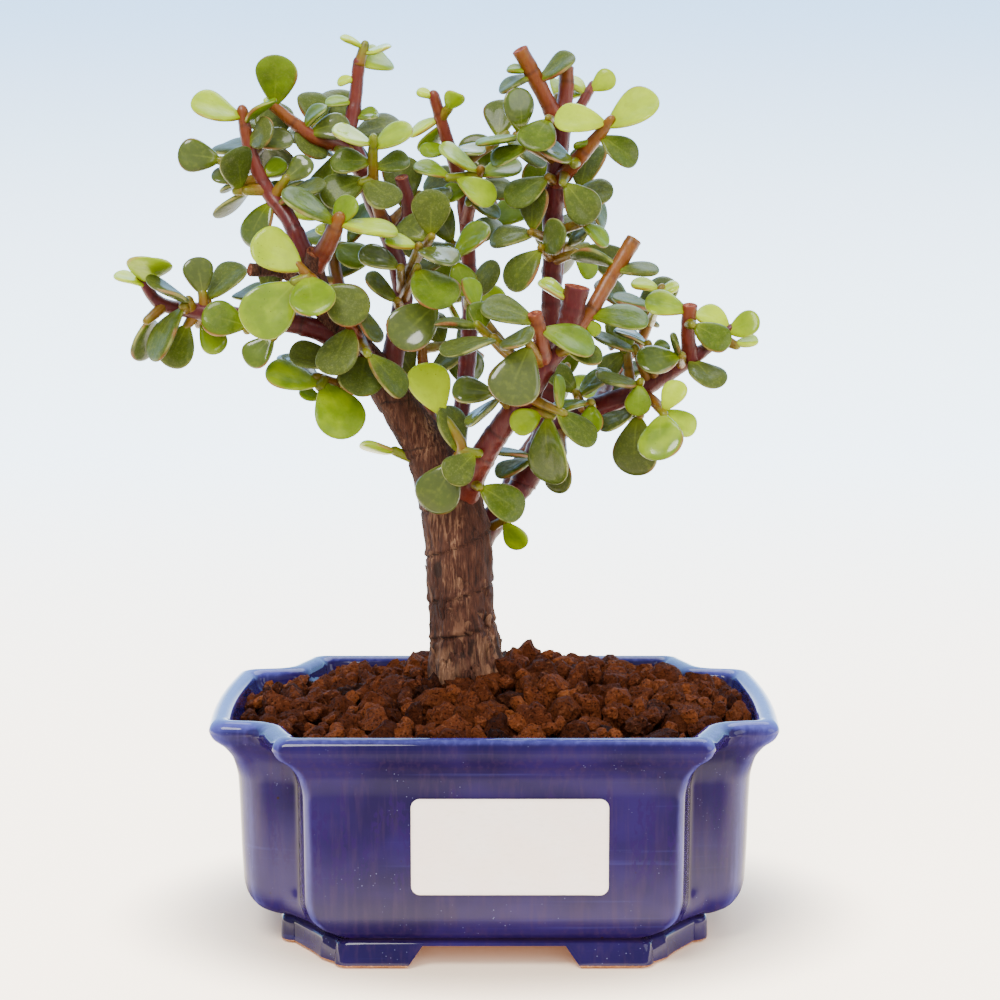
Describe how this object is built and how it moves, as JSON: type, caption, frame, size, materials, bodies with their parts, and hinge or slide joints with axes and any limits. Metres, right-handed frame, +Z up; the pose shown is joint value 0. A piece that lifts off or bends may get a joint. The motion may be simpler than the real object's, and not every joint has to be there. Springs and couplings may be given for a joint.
{
  "type": "dwarf jade bonsai",
  "caption": "Small dwarf jade (Portulacaria afra) bonsai with a forked trunk and pruned fleshy-leaved shoots, in a blue glazed pot with notched corners.",
  "frame": {"origin": "on the ground under the pot's feet, below the middle of the whole plant and pot", "axes": "+Z up, +X to the right along the pot's long side as seen from its labelled front, +Y away from the viewer"},
  "size_m": [0.1428, 0.091, 0.1951],
  "materials": {
    "blue_glaze": "glossy cobalt glaze, paler where it thins over edges, with dark pinholes",
    "drain_mesh": "dark moulded plastic mesh",
    "blank_label": "blank off-white label, satin",
    "fired_clay_granules": "rough red-brown porous granules",
    "bark": "fibrous brown bark with ring scars",
    "leafy_stem": "waxy fleshy leaves on burgundy to orange-brown stems"
  },
  "bodies": {
    "root": {"pot": "blue_glaze", "drain_mesh_left": "drain_mesh", "drain_mesh_right": "drain_mesh", "label": "blank_label", "soil": "fired_clay_granules", "trunk": "bark", "spray_low_left": "leafy_stem", "spray_upper_left": "leafy_stem", "spray_front_left_low": "leafy_stem", "spray_left_hang": "leafy_stem", "spray_front_left": "leafy_stem", "sprig_low_left": "leafy_stem", "spray_crotch": "leafy_stem", "spray_middle": "leafy_stem", "spray_tall_middle": "leafy_stem", "spray_front": "leafy_stem", "spray_right": "leafy_stem", "spray_tall_right": "leafy_stem", "spray_rear_left": "leafy_stem", "spray_rear_middle": "leafy_stem", "spray_rear_right": "leafy_stem"}
  },
  "joints": []
}
